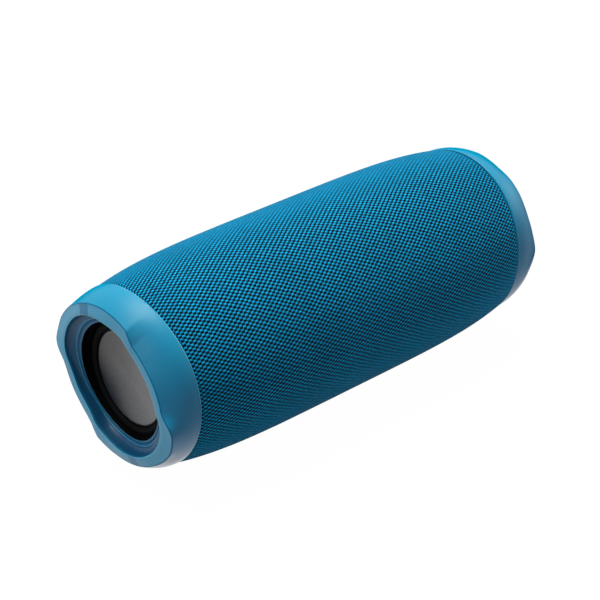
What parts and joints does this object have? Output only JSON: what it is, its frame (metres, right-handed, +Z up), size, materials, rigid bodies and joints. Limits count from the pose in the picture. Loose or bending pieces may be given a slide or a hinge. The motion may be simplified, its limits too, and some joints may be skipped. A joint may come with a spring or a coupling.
{
  "type": "portable party speaker",
  "caption": "Barrel-shaped portable speaker lying on its side, with a woven fabric sleeve, blue end rings, passive radiators in both ends and a control strip along the back.",
  "frame": {"origin": "on the floor, under the middle of the speaker", "axes": "+X along the barrel, +Y to the back with the control strip, +Z up; the drivers fire towards -Y"},
  "size_m": [0.214, 0.0879, 0.0882],
  "materials": {
    "woven_fabric": "woven blue polyester with dark holes between the threads",
    "shell_plastic": "moulded black shell full of holes",
    "housing_plastic": "moulded black plastic with a fine grain",
    "screw_steel": "zinc plated screws",
    "ring_plastic": "satin cyan-blue moulded plastic",
    "foam": "closed-cell foam gasket",
    "frame_plastic": "black glass-filled plastic",
    "surround_rubber": "smooth black rubber roll",
    "turned_disc": "dark anodised disc with fine turned rings",
    "plated_steel": "plated steel",
    "cell_wrap": "shrink-wrapped cells",
    "tray_plastic": "moulded grey-black cradle",
    "lead_wire": "insulated battery lead",
    "circuit_board": "green solder mask with traces",
    "chip_black": "moulded chip packages",
    "shield_can": "tinned shield over the radio",
    "speaker_wire": "insulated speaker wire",
    "switch_plastic": "moulded tact switches",
    "port_metal": "drawn steel port shell",
    "jack_plastic": "black moulded jack",
    "strip_plastic": "dark blue moulded strip",
    "button_plastic": "dark blue satin buttons with pale symbols",
    "cover_rubber": "dark blue soft flap",
    "foot_rubber": "black rubber with fine ribs",
    "ferrite": "sintered ferrite ring",
    "coil_copper": "copper wire on a former",
    "spider_cloth": "corrugated resin-treated cloth",
    "cone_paper": "black pressed paper"
  },
  "bodies": {
    "chassis": {"fabric_sleeve": "woven_fabric", "grille_shell": "shell_plastic", "front_housing": "housing_plastic", "rear_housing": "housing_plastic", "housing_screws": "screw_steel", "left_end_ring": "ring_plastic", "right_end_ring": "ring_plastic", "left_bulkhead": "housing_plastic", "right_bulkhead": "housing_plastic", "left_radiator_gasket": "foam", "right_radiator_gasket": "foam", "left_radiator_frame": "frame_plastic", "right_radiator_frame": "frame_plastic", "left_radiator_surround": "surround_rubber", "right_radiator_surround": "surround_rubber", "radiator_screws": "screw_steel", "left_driver_basket": "frame_plastic", "right_driver_basket": "frame_plastic", "left_driver_yoke": "plated_steel", "right_driver_yoke": "plated_steel", "left_driver_magnet": "ferrite", "right_driver_magnet": "ferrite", "left_driver_top_plate": "plated_steel", "right_driver_top_plate": "plated_steel", "left_driver_spider": "spider_cloth", "right_driver_spider": "spider_cloth", "left_driver_surround": "surround_rubber", "right_driver_surround": "surround_rubber", "driver_screws": "screw_steel", "battery_cells": "cell_wrap", "battery_tray": "tray_plastic", "battery_leads": "lead_wire", "main_board": "circuit_board", "board_chips": "chip_black", "wireless_module": "shield_can", "board_screws": "screw_steel", "speaker_wires": "speaker_wire", "control_board": "circuit_board", "tact_switches": "switch_plastic", "usb_port": "port_metal", "aux_jack": "jack_plastic", "control_strip": "strip_plastic", "port_cover_pin": "plated_steel", "rubber_feet": "foot_rubber"},
    "left_radiator": {"left_radiator_disc": "turned_disc", "left_radiator_weight": "plated_steel"},
    "right_radiator": {"right_radiator_disc": "turned_disc", "right_radiator_weight": "plated_steel"},
    "left_cone": {"left_voice_coil": "coil_copper", "left_driver_cone": "cone_paper", "left_dust_cap": "cone_paper"},
    "right_cone": {"right_voice_coil": "coil_copper", "right_driver_cone": "cone_paper", "right_dust_cap": "cone_paper"},
    "power_key": {"power_button": "button_plastic"},
    "volume_down_key": {"volume_down_button": "button_plastic"},
    "play_key": {"play_button": "button_plastic"},
    "volume_up_key": {"volume_up_button": "button_plastic"},
    "link_key": {"link_button": "button_plastic"},
    "port_flap": {"port_cover": "cover_rubber"}
  },
  "joints": [
    {"name": "left_radiator_slide", "type": "slide", "parent": "chassis", "child": "left_radiator", "axis": [-1, 0, 0], "range_m": [-0.003, 0.003], "stiffness_N_per_m": 800},
    {"name": "right_radiator_slide", "type": "slide", "parent": "chassis", "child": "right_radiator", "axis": [1, 0, 0], "range_m": [-0.003, 0.003], "stiffness_N_per_m": 800},
    {"name": "left_cone_slide", "type": "slide", "parent": "chassis", "child": "left_cone", "axis": [0, -1, 0], "range_m": [-0.0015, 0.0015], "stiffness_N_per_m": 1500},
    {"name": "right_cone_slide", "type": "slide", "parent": "chassis", "child": "right_cone", "axis": [0, -1, 0], "range_m": [-0.0015, 0.0015], "stiffness_N_per_m": 1500},
    {"name": "power_press", "type": "slide", "parent": "chassis", "child": "power_key", "axis": [0, -1, 0], "range_m": [0, 0.0005], "stiffness_N_per_m": 1600},
    {"name": "volume_down_press", "type": "slide", "parent": "chassis", "child": "volume_down_key", "axis": [0, -1, 0], "range_m": [0, 0.0005], "stiffness_N_per_m": 1600},
    {"name": "play_press", "type": "slide", "parent": "chassis", "child": "play_key", "axis": [0, -1, 0], "range_m": [0, 0.0005], "stiffness_N_per_m": 1600},
    {"name": "volume_up_press", "type": "slide", "parent": "chassis", "child": "volume_up_key", "axis": [0, -1, 0], "range_m": [0, 0.0005], "stiffness_N_per_m": 1600},
    {"name": "link_press", "type": "slide", "parent": "chassis", "child": "link_key", "axis": [0, -1, 0], "range_m": [0, 0.0005], "stiffness_N_per_m": 1600},
    {"name": "port_flap_hinge", "type": "hinge", "parent": "chassis", "child": "port_flap", "pos_m": [0, 0.04049, 0.0323], "axis": [-1, 0, 0], "range_deg": [0, 90]}
  ]
}
